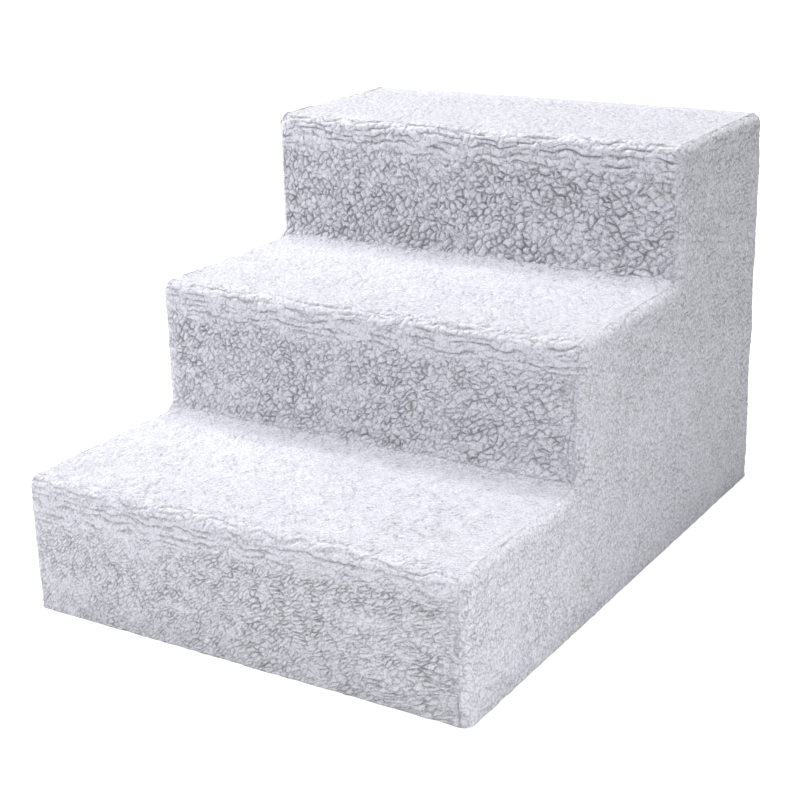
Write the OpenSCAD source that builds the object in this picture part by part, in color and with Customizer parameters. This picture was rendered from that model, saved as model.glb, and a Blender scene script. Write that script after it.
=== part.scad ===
// Three-step pet stairs: a knock-down tube frame with boards clipped on its treads, inside a sewn
// fleece cover that closes with a zip on the back. Millimetres, +Z up, the front step towards -Y,
// the origin on the floor below the middle of the stairs.

/* [Stairs] */
// Width over the fleece
stair_w = 350; // [300:5:450]
// Depth of one step, from riser to riser
step_run = 157; // [140:1:200]
// Height of one step
step_rise = 100; // [90:1:130]

/* [Fleece cover] */
// Thickness of the fleece, knitted ground and pile together
fleece_t = 6; // [4:0.5:8]
// Radius of the soft outer edges
edge_r = 9; // [8:0.5:12]
// Thickness of the cloth under the stairs
base_cloth_t = 1.2; // [0.8:0.1:2]
// Gap left between two sewn panels
seam_gap = 0.2; // [0.1:0.05:0.3]

/* [Frame tubes] */
// Outer diameter of the tubes
tube_od = 16; // [13:0.5:17]
// Wall of the tubes
tube_wall = 0.8; // [0.6:0.1:1.2]

/* [Moulded fittings] */
// Wall of a socket
socket_wall = 1.8; // [1.5:0.1:2.4]
// How far the bead at a socket's mouth stands out
bead_h = 0.4; // [0.2:0.1:0.8]
// Length of that bead
bead_len = 3; // [2:0.5:5]
// Depth of a socket
socket_depth = 20; // [16:1:26]
// Solid left between the middle of a fitting and the floor of a socket
socket_floor = 9; // [8.5:0.5:11]
// Thickness of the webs between sockets
web_t = 2.4; // [1.6:0.2:3.2]
// Radial play of a tube in its socket
tube_play = 0.1; // [0.05:0.05:0.2]

/* [Tread boards] */
// Thickness of a board
board_t = 5; // [4:0.5:8]
// Gap between a board's edges and the inner faces of the fleece
board_margin = 8; // [6:0.5:10]
// Radius of a board's corners
board_corner_r = 4; // [2:0.5:8]

/* [Board clips] */
// Wall of a clip round its tube
clip_wall = 2.5; // [2:0.1:3]
// Width of a clip along its tube
clip_w = 16; // [10:1:24]
// Opening angle of a clip's mouth
clip_mouth_angle = 110; // [90:5:130]
// Radius of the round lips at that mouth
clip_lip_r = 1.7; // [1.4:0.1:2.2]
// Distance of the clips from the middle of the stairs
clip_x = 85; // [50:1:100]
// Length of the flat pad on a clip
clip_pad_len = 18; // [14:1:22]
// Diameter of the stud through the board
stud_d = 4; // [3:0.5:6]
// Diameter of the stud's head
stud_head_d = 8; // [6.5:0.5:10]
// Height of the stud's head
stud_head_h = 1.6; // [1.2:0.1:2.4]

/* [Zip] */
// Distance of the tape from the rounded upright edges
zip_margin = 6; // [2:0.5:30]
// Distance of the tape from the cloth under the stairs
zip_lift = 0.8; // [0.4:0.1:10]
// Bend radius at the two lower corners
zip_bend_r = 20; // [14:1:30]
// How far the zip ends below the top of the stairs
zip_end_drop = 36; // [32:1:60]
// Half width of one zip's chain
chain_half_w = 3; // [2.5:0.1:3.5]
// Height of the chain above its tape
chain_h = 2.2; // [1.6:0.1:2.4]
// Gap between the two halves of the chain
chain_gap = 0.2; // [0.1:0.05:0.3]
// Width of one tape
tape_w = 12; // [10:0.5:14]
// Thickness of one tape
tape_t = 0.6; // [0.4:0.1:0.8]
// Half width of the slot between the fleece edges that shows the zip
slot_half_w = 5; // [4.8:0.1:6]

/* [Zip slider] */
// Length of the slider
slider_len = 12; // [10:0.5:14]
// Thickness of the slider's plates and flanges
slider_t = 0.9; // [0.7:0.1:1.1]
// Width of the bridge that holds the pull
bridge_w = 1.8; // [1.4:0.1:2.2]
// Height of the eye under the bridge
bridge_eye_h = 1.5; // [1.3:0.1:1.6]
// Thickness of the bridge over the eye
bridge_t = 0.7; // [0.6:0.1:0.8]
// Length of the bridge
bridge_len = 7.5; // [6.5:0.5:9]
// Length of the wedge that parts the chain
wedge_len = 3.2; // [2.5:0.1:4]
// Width of that wedge
wedge_w = 1.6; // [1.2:0.1:2]

/* [Zip pull] */
// Length of the pull below its pin
pull_len = 25; // [18:1:30]
// Width of the pull
pull_w = 5.4; // [4.8:0.2:6.4]
// Thickness of the pull
pull_t = 0.9; // [0.7:0.1:1]
// Diameter of the pull's cross pin
pull_pin_d = 1.1; // [0.9:0.1:1.2]
// Diameter of the hole near the pull's end
pull_hole_d = 2.6; // [1.6:0.2:3.2]

/* [Hidden] */
step_count = 3;
// Running clearance between pieces that only rest against each other
rest_gap = 0.3;
// Room kept behind the back panel for the zip's tape and slider
zip_room = 2.8;
// How far cutting shapes run past what they cut
overrun = 1;
round_fn = 64;

tube_r = tube_od / 2;
bore_r = tube_r + tube_play;
sleeve_r = bore_r + socket_wall;
bead_r = sleeve_r + bead_h;
arm_len = socket_floor + socket_depth;
tube_setback = socket_floor + rest_gap;

stair_d = step_count * step_run;
stair_h = step_count * step_rise;
front_y = -stair_d / 2;
back_y = stair_d / 2;

// Outer faces of the cover: riser and tread number i, counted from 1 at the front
function riser_y(i) = front_y + (i - 1) * step_run;
function tread_z(i) = i * step_rise;

// Centre lines of the frame: columns 0 to 3 from front to back, levels 0 to 3 from the floor up
// Centre line of the zip: its upright runs, the run along the bottom, and its upper ends
zip_x = stair_w / 2 - edge_r - zip_margin - tape_w;
zip_z = base_cloth_t + zip_lift + tape_w;
zip_end_z = stair_h - zip_end_drop;
frame_x = stair_w / 2 - fleece_t - rest_gap - bead_r;
board_seat = tube_r + clip_wall;
function column_y(c) = c < step_count
    ? riser_y(c + 1) + fleece_t + rest_gap + bead_r
    : back_y - fleece_t - zip_room - bead_r;
function level_z(v) = v == 0
    ? base_cloth_t + rest_gap + bead_r
    : tread_z(v) - fleece_t - rest_gap - board_t - board_seat;

sides = [["left", -1], ["right", 1]];

// Directions of the sockets
up_dir = [0, 0, 1];
down_dir = [0, 0, -1];
back_dir = [0, 1, 0];
front_dir = [0, -1, 0];

// Turns +Z to point along d
module toward(d) {
    rotate([0, acos(d[2]), atan2(d[1], d[0])]) children();
}

// Puts a flat shape, drawn across and up, in the back wall between two depths
module in_back_wall(y_from, y_to) {
    translate([0, y_to, 0]) rotate([90, 0, 0]) linear_extrude(y_to - y_from) children();
}

// Tubes

module tube(len) {
    color("gainsboro")
    difference() {
        cylinder(r = tube_r, h = len, $fn = round_fn);
        translate([0, 0, -overrun])
            cylinder(r = tube_r - tube_wall, h = len + 2 * overrun, $fn = round_fn);
    }
}

module tube_between(a, b) {
    span = norm(b - a);
    direction = (b - a) / span;
    translate(a) toward(direction) translate([0, 0, tube_setback]) tube(span - 2 * tube_setback);
}

// Tube at one side between two joints of the frame, each given by its column and level
module side_tube(from, to, side) {
    tube_between(
        [side * frame_x, column_y(from[0]), level_z(from[1])],
        [side * frame_x, column_y(to[0]), level_z(to[1])]
    );
}

module cross_tube(column, level) {
    y = column_y(column);
    z = level_z(level);
    tube_between([-frame_x, y, z], [frame_x, y, z]);
}

// Moulded fittings

module sleeve(len) {
    cylinder(r = sleeve_r, h = len, $fn = round_fn);
    translate([0, 0, len - bead_len]) cylinder(r = bead_r, h = bead_len, $fn = round_fn);
}

module socket_bore() {
    translate([0, 0, socket_floor]) cylinder(r = bore_r, h = socket_depth + overrun, $fn = round_fn);
}

// Web that stiffens the corner between two sockets at right angles
module web(d1, d2) {
    reach = arm_len - bead_len;
    n = cross(d1, d2);
    multmatrix([
        [d1[0], d2[0], n[0], 0],
        [d1[1], d2[1], n[1], 0],
        [d1[2], d2[2], n[2], 0],
        [0, 0, 0, 1]
    ])
        linear_extrude(web_t, center = true) polygon([[0, 0], [reach, 0], [0, reach]]);
}

// Sockets along all of dirs, with webs between those in braced
module fitting(dirs, braced) {
    last = len(braced) - 1;
    color("dimgray")
    difference() {
        union() {
            sphere(r = sleeve_r, $fn = round_fn);
            for (d = dirs) toward(d) sleeve(arm_len);
            for (i = [0:last], j = [0:last])
                if (i < j && braced[i] * braced[j] == 0) web(braced[i], braced[j]);
        }
        for (d = dirs) toward(d) socket_bore();
    }
}

// Fitting at a joint of the frame, with sockets along dirs and one for a cross tube
module corner_fitting(column, level, dirs, side) {
    all_dirs = concat(dirs, [[-side, 0, 0]]);
    // A board passes close above every fitting that isn't on the floor
    braced = [for (d = all_dirs) if (level == 0 || d != up_dir) d];
    translate([side * frame_x, column_y(column), level_z(level)]) fitting(all_dirs, braced);
}

// Tee that slides on the floor rail and carries a post
module floor_tee() {
    color("dimgray")
    difference() {
        union() {
            rotate([90, 0, 0]) cylinder(r = sleeve_r, h = 2 * socket_depth, center = true, $fn = round_fn);
            for (turn = [-90, 90])
                rotate([turn, 0, 0]) translate([0, 0, socket_depth - bead_len])
                    cylinder(r = bead_r, h = bead_len, $fn = round_fn);
            sleeve(arm_len);
            for (d = [front_dir, back_dir]) web(up_dir, d);
        }
        rotate([90, 0, 0])
            cylinder(r = bore_r, h = 2 * (arm_len + overrun), center = true, $fn = round_fn);
        socket_bore();
    }
}

module floor_tees() {
    for (s = sides, c = [1:step_count - 1])
        translate([s[1] * frame_x, column_y(c), level_z(0)]) floor_tee();
}

// Tread boards and the clips that hold them

// A board reaches from just before the nosing tube to just past the tube behind it
board_inset = fleece_t + board_margin;
board_half_w = stair_w / 2 - board_inset;
function board_front(i) = riser_y(i) + board_inset;
function board_back(i) = i < step_count ? column_y(i) + clip_pad_len / 2 : back_y - board_inset;
function board_top(i) = tread_z(i) - fleece_t - rest_gap;
notch_half = bead_r + rest_gap;

module rounded_rectangle(x_half, y_from, y_to, r) {
    translate([-x_half + r, y_from]) square([2 * (x_half - r), y_to - y_from]);
    translate([-x_half, y_from + r]) square([2 * x_half, y_to - y_from - 2 * r]);
    for (x = [-x_half + r, x_half - r], y = [y_from + r, y_to - r])
        translate([x, y]) circle(r = r, $fn = round_fn);
}

// Where board i is clipped: on the tube at its front and on the one at its back
function clip_ys(i) = [column_y(i - 1), column_y(i)];

module tread_board(i) {
    color("burlywood")
    difference() {
        translate([0, 0, board_top(i) - board_t]) linear_extrude(board_t)
            difference() {
                rounded_rectangle(board_half_w, board_front(i), board_back(i), board_corner_r);
                // Room for the posts that go on up to the next step
                if (i < step_count)
                    for (s = sides)
                        translate([s[1] * frame_x, column_y(i)]) {
                            circle(r = notch_half, $fn = round_fn);
                            translate([-notch_half, 0]) square([2 * notch_half, clip_pad_len]);
                            translate([s[1] > 0 ? 0 : -notch_half, -notch_half])
                                square([notch_half, 2 * notch_half]);
                        }
            }
        for (x = [-clip_x, clip_x], y = clip_ys(i)) translate([x, y, board_top(i)]) {
            translate([0, 0, -board_t - overrun])
                cylinder(d = stud_d + 2 * tube_play, h = board_t + 2 * overrun, $fn = round_fn);
            translate([0, 0, -stud_head_h - rest_gap])
                cylinder(d = stud_head_d + 2 * rest_gap, h = stud_head_h + rest_gap + overrun, $fn = round_fn);
        }
    }
}

// Clip that snaps on a cross tube from above, with a headed stud for the board
clip_r = bore_r + clip_wall;
clip_pad_z = board_seat - rest_gap / 2;

module clip_profile() {
    mouth_half = clip_mouth_angle / 2;
    far = 4 * clip_r;
    difference() {
        union() {
            circle(r = clip_r, $fn = round_fn);
            translate([-clip_pad_len / 2, clip_pad_z - clip_wall]) square([clip_pad_len, clip_wall]);
        }
        circle(r = bore_r, $fn = round_fn);
        polygon([[0, 0], far * [-sin(mouth_half), -cos(mouth_half)], far * [sin(mouth_half), -cos(mouth_half)]]);
        translate([-clip_r, clip_pad_z]) square([2 * clip_r, clip_r]);
    }
    // Round lips that ride over the tube
    lip_place = bore_r + rest_gap + clip_lip_r;
    for (s = [-1, 1])
        translate(lip_place * [s * sin(mouth_half), -cos(mouth_half)]) circle(r = clip_lip_r, $fn = round_fn);
}

module board_clip() {
    color("dimgray")
    union() {
        rotate([90, 0, 90]) linear_extrude(clip_w, center = true) clip_profile();
        translate([0, 0, clip_pad_z - clip_wall / 2])
            cylinder(d = stud_d, h = board_t + clip_wall / 2, $fn = round_fn);
        translate([0, 0, clip_pad_z + board_t - stud_head_h])
            cylinder(d = stud_head_d, h = stud_head_h, $fn = round_fn);
    }
}

module board_clips() {
    for (i = [1:step_count], x = [-clip_x, clip_x], v = [0, 1])
        translate([x, clip_ys(i)[v], level_z(i)]) board_clip();
}

// Fleece cover

// Block i of the stairs, from its riser to the back, its outer edges rounded, drawn in by inset
module soft_block(i, inset) {
    r = edge_r - inset;
    x_half = stair_w / 2 - inset;
    y_front = riser_y(i) + inset;
    y_end = back_y - inset;
    z_edge = tread_z(i) - edge_r;
    x_round = x_half - r;
    translate([0, 0, -overrun]) linear_extrude(z_edge + overrun) rounded_rectangle(x_half, y_front, y_end, r);
    translate([-x_round, y_front + r, 0]) cube([2 * x_round, y_end - y_front - 2 * r, z_edge + r]);
    for (y = [y_front + r, y_end - r]) translate([0, y, z_edge]) {
        rotate([0, 90, 0]) cylinder(r = r, h = 2 * x_round, center = true, $fn = round_fn);
        for (x = [-x_round, x_round]) translate([x, 0, 0]) sphere(r = r, $fn = round_fn);
    }
    for (x = [-x_round, x_round])
        translate([x, y_front + r, z_edge]) rotate([-90, 0, 0])
            cylinder(r = r, h = y_end - y_front - 2 * r, $fn = round_fn);
}

// The cover of the blocks listed, as one shell that is open below
module cover_shell(blocks) {
    difference() {
        union() {
            for (i = blocks) soft_block(i, 0);
        }
        for (i = blocks) soft_block(i, fleece_t);
        translate([-stair_w, -stair_d, -2 * overrun]) cube([2 * stair_w, 2 * stair_d, 2 * overrun]);
    }
}

// Side seams run where the inner face of a side panel meets the rounded edge
seam_x = stair_w / 2 - fleece_t;
back_seam_z = stair_h - edge_r;
inner_back_y = back_y - fleece_t;
slot_top_z = zip_end_z + slider_len / 2;

// Everything inside the zip's line, grown by grow
module inside_zip(grow, top_z) {
    corner_x = zip_x - zip_bend_r;
    corner_z = zip_z + zip_bend_r;
    r = zip_bend_r + grow;
    translate([-zip_x - grow, corner_z]) square([2 * (zip_x + grow), top_z - corner_z]);
    translate([-corner_x, zip_z - grow]) square([2 * corner_x, zip_bend_r + grow]);
    for (x = [-corner_x, corner_x]) translate([x, corner_z]) circle(r = r, $fn = round_fn);
}

// Riser and tread of step i, cut from one length of fleece
module step_cover(i) {
    x_half = seam_x - seam_gap / 2;
    z_from = i == 1 ? 0 : tread_z(i - 1) + seam_gap;
    y_to = i < step_count ? riser_y(i + 1) + fleece_t : back_y;
    color("whitesmoke")
    intersection() {
        cover_shell([i]);
        difference() {
            translate([-x_half, front_y, z_from]) cube([2 * x_half, y_to - front_y, tread_z(i) - z_from]);
            // The back wall is a panel of its own
            translate([-stair_w, back_y - edge_r, -overrun])
                cube([2 * stair_w, stair_d, back_seam_z + seam_gap + overrun]);
        }
    }
}

// Side panel, which turns round the back edge as far as the zip
module side_cover(side) {
    color("whitesmoke")
    intersection() {
        cover_shell([1:step_count]);
        union() {
            translate([side > 0 ? seam_x + seam_gap / 2 : -stair_w, -stair_d, -overrun])
                cube([stair_w - seam_x - seam_gap / 2, 2 * stair_d, stair_h + 2 * overrun]);
            in_back_wall(back_y - edge_r, back_y + overrun)
                difference() {
                    translate([side > 0 ? lip_x : -stair_w, -overrun])
                        square([stair_w - lip_x, back_seam_z + overrun]);
                    inside_zip(slot_half_w, stair_h);
                }
        }
    }
}

// Back panel, which the zip opens on three sides
module back_flap() {
    top_half_w = zip_x + slot_half_w - seam_gap;
    color("whitesmoke")
    in_back_wall(inner_back_y, back_y) {
        inside_zip(-slot_half_w, back_seam_z);
        translate([-top_half_w, slot_top_z]) square([2 * top_half_w, back_seam_z - slot_top_z]);
    }
}

// Cloth under the stairs, turned up at the back to meet the zip
lip_x = zip_x - zip_bend_r;
module base_cloth() {
    lip_half_w = lip_x - seam_gap;
    inner_edge_y = inner_back_y - seam_gap;
    color("darkgray")
    union() {
        linear_extrude(base_cloth_t)
            rounded_rectangle(seam_x - seam_gap, front_y + fleece_t + seam_gap, inner_edge_y, edge_r - fleece_t);
        translate([-lip_half_w, inner_edge_y - edge_r, 0])
            cube([2 * lip_half_w, edge_r + seam_gap + base_cloth_t, base_cloth_t]);
        translate([-lip_half_w, inner_back_y, 0])
            cube([2 * lip_half_w, base_cloth_t, zip_z - slot_half_w]);
    }
}

// Zip

tape_back_y = inner_back_y - rest_gap / 2 - tape_t;
chain_y = tape_back_y + tape_t;
chain_top_y = chain_y + chain_h;

// Room for the slider's wedge where the two halves of the chain part
module wedge_room() {
    grow = rest_gap;
    translate([zip_x, zip_end_z - slider_len / 2])
        polygon([
            [0, slider_len / 2 - 2 * wedge_len - grow],
            [-wedge_w / 2 - grow, slider_len / 2 - wedge_len],
            [-wedge_w / 2 - grow, slider_len],
            [wedge_w / 2 + grow, slider_len],
            [wedge_w / 2 + grow, slider_len / 2 - wedge_len]
        ]);
}

// Band along the zip's line, between two distances from it
module zip_band(inner, outer) {
    difference() {
        inside_zip(outer, zip_end_z);
        inside_zip(inner, stair_h);
        wedge_room();
    }
}

// One half of the zip: its tape, and the row of teeth along the tape's edge
module zip_half(side) {
    edge = chain_gap / 2;
    color("gainsboro")
    union() {
        in_back_wall(tape_back_y, chain_y)
            if (side > 0) zip_band(edge, tape_w);
            else zip_band(-tape_w, -edge);
        in_back_wall(chain_y - tape_t / 2, chain_top_y)
            if (side > 0) zip_band(edge, chain_half_w);
            else zip_band(-chain_half_w, -edge);
    }
}

module zip_half_body() {
    zip_half(1);
}

module zip_half_flap() {
    zip_half(-1);
}

// Slider, drawn at the closed end of the right-hand run
slider_half_w = chain_half_w + rest_gap + slider_t;
slider_z = zip_end_z - slider_len / 2;
slider_top_y = chain_top_y + rest_gap + slider_t;
pin_y = slider_top_y + bridge_eye_h / 2;
pin_z = slider_z + bridge_len / 2 - bridge_t - pull_pin_d / 2 - rest_gap / 2;
// The window in the pull's head swings clear of the far end of the bridge
pull_window_h = norm([pin_z - slider_z + bridge_len / 2, bridge_eye_h / 2 + bridge_t]) + rest_gap;

module slider_outline() {
    nose = slider_half_w;
    tail = slider_half_w - slider_t;
    shoulder = slider_len / 4;
    polygon([
        [-tail, -slider_len / 2], [tail, -slider_len / 2],
        [nose, -shoulder], [nose, slider_len / 2 - slider_t],
        [nose - slider_t, slider_len / 2], [slider_t - nose, slider_len / 2],
        [-nose, slider_len / 2 - slider_t], [-nose, -shoulder]
    ]);
}

module zip_slider() {
    channel = chain_half_w + rest_gap;
    wing_back = tape_back_y - rest_gap - slider_t;
    color("silver")
    translate([zip_x, 0, slider_z])
    union() {
        // Wing in front of the chain, with a flange down each side of it
        in_back_wall(slider_top_y - slider_t, slider_top_y) slider_outline();
        in_back_wall(chain_y + rest_gap, slider_top_y - slider_t / 2)
            difference() {
                slider_outline();
                square([2 * channel, 2 * slider_len], center = true);
            }
        // Wing behind the tape, and the wedge that joins the two wings and parts the chain
        in_back_wall(wing_back, wing_back + slider_t) slider_outline();
        in_back_wall(wing_back + slider_t / 2, slider_top_y - slider_t / 2)
            polygon([
                [0, slider_len / 2 - 2 * wedge_len + rest_gap],
                [-wedge_w / 2, slider_len / 2 - wedge_len],
                [-wedge_w / 2, slider_len / 2],
                [wedge_w / 2, slider_len / 2],
                [wedge_w / 2, slider_len / 2 - wedge_len]
            ]);
        // Bridge that holds the pull
        rotate([90, 0, 90]) linear_extrude(bridge_w, center = true)
            difference() {
                translate([slider_top_y - slider_t / 2, -bridge_len / 2])
                    square([bridge_eye_h + bridge_t + slider_t / 2, bridge_len]);
                translate([slider_top_y, -bridge_len / 2 + bridge_t])
                    square([bridge_eye_h, bridge_len - 2 * bridge_t]);
            }
    }
}

module zip_pull() {
    head_half = pull_w / 2;
    window_half = bridge_w / 2 + rest_gap;
    color("silver")
    translate([zip_x, pin_y, pin_z])
    union() {
        translate([0, pull_t / 2, 0]) rotate([90, 0, 0]) linear_extrude(pull_t)
            difference() {
                union() {
                    translate([-head_half, -pull_len + head_half]) square([pull_w, pull_len - head_half]);
                    translate([0, -pull_len + head_half]) circle(r = head_half, $fn = round_fn);
                }
                translate([-window_half, -pull_window_h]) square([2 * window_half, pull_window_h + overrun]);
                translate([0, -pull_len + head_half]) circle(d = pull_hole_d, $fn = round_fn);
            }
        rotate([0, 90, 0]) cylinder(d = pull_pin_d, h = pull_w, center = true, $fn = round_fn);
    }
}

// The pieces by name

for (s = sides) {
    corner_fitting(0, 0, [up_dir, back_dir], s[1]);
    corner_fitting(step_count, 0, [up_dir, front_dir], s[1]);
    corner_fitting(step_count, step_count, [down_dir, front_dir], s[1]);
    side_tube([0, 0], [0, 1], s[1]);
    side_tube([step_count, 0], [step_count, step_count], s[1]);
    side_tube([0, 0], [step_count, 0], s[1]);
    side_cover(s[1]);
    for (i = [1:step_count]) {
        corner_fitting(i - 1, i, [down_dir, back_dir], s[1]);
        side_tube([i - 1, i], [i, i], s[1]);
    }
    for (i = [1:step_count - 1]) {
        corner_fitting(i, i, [down_dir, up_dir, front_dir], s[1]);
        side_tube([i, 0], [i, i], s[1]);
        side_tube([i, i], [i, i + 1], s[1]);
    }
}
for (i = [1:step_count]) {
    cross_tube(i - 1, i);
    tread_board(i);
    step_cover(i);
}
for (i = [1:step_count - 1])
    cross_tube(i, i);
cross_tube(step_count, step_count);  // cross_tube_top_back
cross_tube(0, 0);  // cross_tube_floor_front
cross_tube(step_count, 0);  // cross_tube_floor_back
floor_tees();
board_clips();
back_flap();
base_cloth();
zip_half_body();
zip_half_flap();
zip_slider();
zip_pull();
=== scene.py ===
import math

import bpy
import numpy as np
from mathutils import Matrix, Vector
from mathutils.kdtree import KDTree


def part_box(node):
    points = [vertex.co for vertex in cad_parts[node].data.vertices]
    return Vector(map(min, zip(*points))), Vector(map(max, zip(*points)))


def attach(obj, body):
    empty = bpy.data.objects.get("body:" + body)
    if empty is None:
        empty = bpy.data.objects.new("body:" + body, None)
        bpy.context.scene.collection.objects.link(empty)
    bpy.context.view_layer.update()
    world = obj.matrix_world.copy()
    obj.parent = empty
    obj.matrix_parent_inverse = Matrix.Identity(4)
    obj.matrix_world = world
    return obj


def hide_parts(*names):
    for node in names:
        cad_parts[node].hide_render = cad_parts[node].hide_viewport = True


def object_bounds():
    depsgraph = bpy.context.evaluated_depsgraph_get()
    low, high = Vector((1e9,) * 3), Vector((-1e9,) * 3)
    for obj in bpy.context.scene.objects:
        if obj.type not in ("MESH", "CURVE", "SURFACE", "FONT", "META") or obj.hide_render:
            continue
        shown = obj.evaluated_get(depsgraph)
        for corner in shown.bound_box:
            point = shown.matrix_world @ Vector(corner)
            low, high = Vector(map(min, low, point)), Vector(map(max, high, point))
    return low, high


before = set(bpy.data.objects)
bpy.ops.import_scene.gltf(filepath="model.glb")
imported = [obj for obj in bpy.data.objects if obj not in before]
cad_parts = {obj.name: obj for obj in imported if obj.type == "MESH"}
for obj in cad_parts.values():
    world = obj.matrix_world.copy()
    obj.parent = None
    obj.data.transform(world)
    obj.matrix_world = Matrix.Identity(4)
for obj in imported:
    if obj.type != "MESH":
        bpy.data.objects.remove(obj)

cad_low, cad_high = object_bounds()

# The view. The stairs are seen from the front right, a little from above, through a long lens, and
# the camera leans a little to the left.
scene = bpy.context.scene
picture_size = 800
sensor_width = 36
focal_pixels = 1663.0
camera_place = Vector((0.6130, -1.0018, 0.5217))
camera_turn = math.radians(32.11)
camera_height = math.radians(19.317)
camera_roll = math.radians(-1.545)

backwards = Vector((math.sin(camera_turn) * math.cos(camera_height),
                    -math.cos(camera_turn) * math.cos(camera_height),
                    math.sin(camera_height)))
level_right = Vector((math.cos(camera_turn), math.sin(camera_turn), 0))
level_up = backwards.cross(level_right)
right = level_right * math.cos(camera_roll) + level_up * math.sin(camera_roll)
above = level_up * math.cos(camera_roll) - level_right * math.sin(camera_roll)
bpy.ops.object.camera_add()
camera = bpy.context.object
camera.name = "camera"
camera_axes = Matrix((right, above, backwards)).transposed()
camera.matrix_world = Matrix.Translation(camera_place) @ camera_axes.to_4x4()
camera.data.sensor_width = sensor_width
camera.data.lens = focal_pixels / picture_size * sensor_width
camera.data.clip_start = 0.05
camera.data.clip_end = 50
scene.camera = camera
scene.view_settings.view_transform = "Standard"

# The floor, the white room and the lamps. One big soft lamp hangs over the stairs. Two weak ones
# stand on the left, in front and beside, and two more low down on the right.


def new_material(name):
    """An empty material, its nodes and its Principled BSDF."""
    material = bpy.data.materials.new(name)
    material.use_nodes = True
    nodes = material.node_tree.nodes
    return material, nodes, nodes["Principled BSDF"]


def feed(value, socket):
    """Gives a node's input a constant, or links another node's output to it."""
    if isinstance(value, bpy.types.NodeSocket):
        socket.id_data.links.new(value, socket)
    else:
        socket.default_value = value


def set_inputs(node, values):
    """Feeds a node's inputs by their names."""
    for name, value in values.items():
        feed(value, node.inputs[name])
    return node


def calculate(nodes, operation, *values, kind="Math"):
    """A Math or VectorMath node on outputs or constants, and its result."""
    node = nodes.new(f"ShaderNode{kind}")
    node.operation = operation
    for value, socket in zip(values, node.inputs):
        feed(value, socket)
    return node.outputs[0]


def split(nodes, vector):
    """The x, y and z of a vector."""
    node = nodes.new("ShaderNodeSeparateXYZ")
    feed(vector, node.inputs[0])
    return node.outputs


def seen_directly(nodes):
    """A value that is 1 for the rays that show a surface to the camera, or in metal or glass."""
    rays = nodes.new("ShaderNodeLightPath").outputs
    mirror = calculate(nodes, "MAXIMUM", rays["Is Camera Ray"], rays["Is Glossy Ray"])
    return calculate(nodes, "MAXIMUM", mirror, rays["Is Transmission Ray"])


floor_size = 12
floor_colour = (0.82, 0.82, 0.82, 1)
floor_glow = 0.86
bpy.ops.mesh.primitive_plane_add(size=floor_size, location=(0, 0, -0.0005))
floor = bpy.context.object
floor.name = "studio_floor"
bpy.ops.object.transform_apply(location=True)
floor_paint, nodes, shader = new_material("studio floor")
glow = calculate(nodes, "MULTIPLY", seen_directly(nodes), floor_glow)
set_inputs(shader, {"Base Color": floor_colour, "Roughness": 0.9, "Specular IOR Level": 0.1,
                    "Emission Color": (1, 1, 1, 1), "Emission Strength": glow})
floor.data.materials.append(floor_paint)

room_light = 0.13
world = bpy.data.worlds.new("white room")
world.use_nodes = True
scene.world = world
nodes = world.node_tree.nodes
level = set_inputs(nodes.new("ShaderNodeMapRange"),
                   {"Value": seen_directly(nodes), "To Min": room_light, "To Max": 1})
set_inputs(nodes["Background"], {"Color": (1, 1, 1, 1), "Strength": level.outputs["Result"]})

for name, place, aim, size, spread_angle, watts in (
        ("lamp_over", (-0.40, 0.02, 2.6), (0, 0, 0.1), 1.6, 180, 73),
        ("lamp_left", (-0.72, -0.85, 0.25), (-0.15, -0.2, 0.08), 0.4, 180, 3.0),
        ("lamp_beside", (-1.2, 0.15, 0.5), (-0.17, 0, 0.15), 0.5, 180, 9.0),
        ("lamp_right", (1.25, 0.06, 0.08), (0.17, -0.05, 0.10), 0.5, 180, 3.9),
        ("lamp_low", (1.05, -0.72, 0.06), (0.20, -0.27, 0.0), 0.3, 50, 0.50)):
    bpy.ops.object.light_add(type="AREA", location=place)
    lamp = bpy.context.object
    lamp.name = name
    lamp.data.size = size
    lamp.data.spread = math.radians(spread_angle)
    lamp.data.energy = watts
    lamp.rotation_euler = (Vector(aim) - Vector(place)).to_track_quat("-Z", "Y").to_euler()

# The frame's tubes are thin steel with a white powder coat, which has a faint orange peel. The
# fittings are moulded in light grey plastic, and the clips in dark grey, with a fine eroded grain.


def new_group(name, given, result):
    """A node group for materials, its nodes, and the sockets where it takes and gives values."""
    group = bpy.data.node_groups.new(name, "ShaderNodeTree")
    for way, sockets in (("INPUT", given), ("OUTPUT", result)):
        for socket, kind in sockets.items():
            group.interface.new_socket(socket, in_out=way, socket_type=f"NodeSocket{kind}")
    return (group, group.nodes, group.nodes.new("NodeGroupInput").outputs,
            group.nodes.new("NodeGroupOutput").inputs)


def mixed(nodes, factor, first, second):
    """A colour between two."""
    node = nodes.new("ShaderNodeMix")
    node.data_type = "RGBA"
    feed(factor, node.inputs["Factor"])
    feed(first, node.inputs[6])
    feed(second, node.inputs[7])
    return node.outputs[2]


grain, nodes, given, result = new_group(
    "fine grain",
    {"Scale": "Float", "Height": "Float", "Dark": "Color", "Light": "Color", "Shine Low": "Float",
     "Shine High": "Float"},
    {"Color": "Color", "Roughness": "Float", "Normal": "Vector"})
place = nodes.new("ShaderNodeTexCoord").outputs["Object"]
bumps = set_inputs(nodes.new("ShaderNodeTexNoise"),
                   {"Vector": place, "Scale": given["Scale"], "Detail": 2})
clouds = set_inputs(nodes.new("ShaderNodeTexNoise"), {"Vector": place, "Scale": 35, "Detail": 4})
relief = set_inputs(nodes.new("ShaderNodeBump"),
                    {"Height": bumps.outputs["Fac"], "Distance": given["Height"]})
shine = set_inputs(nodes.new("ShaderNodeMapRange"), {
    "Value": clouds.outputs["Fac"], "To Min": given["Shine Low"], "To Max": given["Shine High"]})
feed(relief.outputs["Normal"], result["Normal"])
feed(shine.outputs["Result"], result["Roughness"])
feed(mixed(nodes, clouds.outputs["Fac"], given["Dark"], given["Light"]), result["Color"])


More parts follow.
